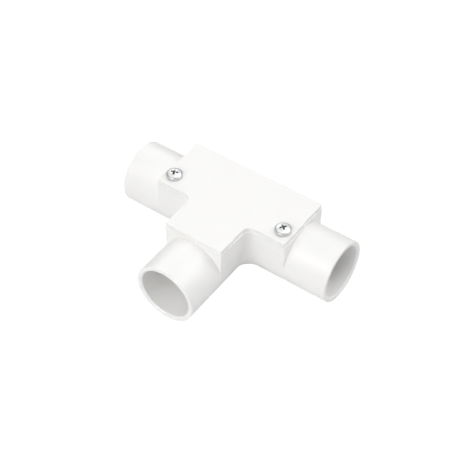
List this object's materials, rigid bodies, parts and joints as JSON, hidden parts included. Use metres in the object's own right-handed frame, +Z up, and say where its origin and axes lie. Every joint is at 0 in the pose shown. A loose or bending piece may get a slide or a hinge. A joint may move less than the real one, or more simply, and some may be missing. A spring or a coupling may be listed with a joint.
{
  "type": "conduit inspection tee",
  "caption": "White moulded tee fitting for round conduit, with plain slip sockets on the run and branch and a flat T-shaped inspection lid held by cross-recess screws.",
  "frame": {"origin": "where the run's axis crosses the branch's axis", "axes": "+X along the run towards the right socket, -Y along the branch towards its socket, +Z up to the lid"},
  "size_m": [0.09, 0.0572, 0.0287],
  "materials": {
    "white_pvc": "smooth moulded PVC, semi-gloss",
    "zinc_steel": "bright zinc plate",
    "insert_brass": "plain turned brass"
  },
  "bodies": {
    "base": {"tee_body": "white_pvc", "insert_left": "insert_brass", "insert_right": "insert_brass"},
    "cover": {"lid": "white_pvc"},
    "left_screw": {"screw_left": "zinc_steel"},
    "right_screw": {"screw_right": "zinc_steel"}
  },
  "joints": [
    {"name": "lid_lift", "type": "slide", "parent": "base", "child": "cover", "axis": [0, 0, 1], "range_m": [0, 0.006]},
    {"name": "screw_left_turn", "type": "hinge", "parent": "cover", "child": "left_screw", "pos_m": [-0.0239, -0.0071, 0.0143], "axis": [0, 0, 1], "range_deg": [0, 4320]},
    {"name": "screw_right_turn", "type": "hinge", "parent": "cover", "child": "right_screw", "pos_m": [0.0239, -0.0071, 0.0143], "axis": [0, 0, 1], "range_deg": [0, 4320]}
  ],
  "couplings": [
    {"joint": "screw_left_turn", "follows": "lid_lift", "rad_per_m": 12566},
    {"joint": "screw_right_turn", "follows": "lid_lift", "rad_per_m": 12566}
  ]
}
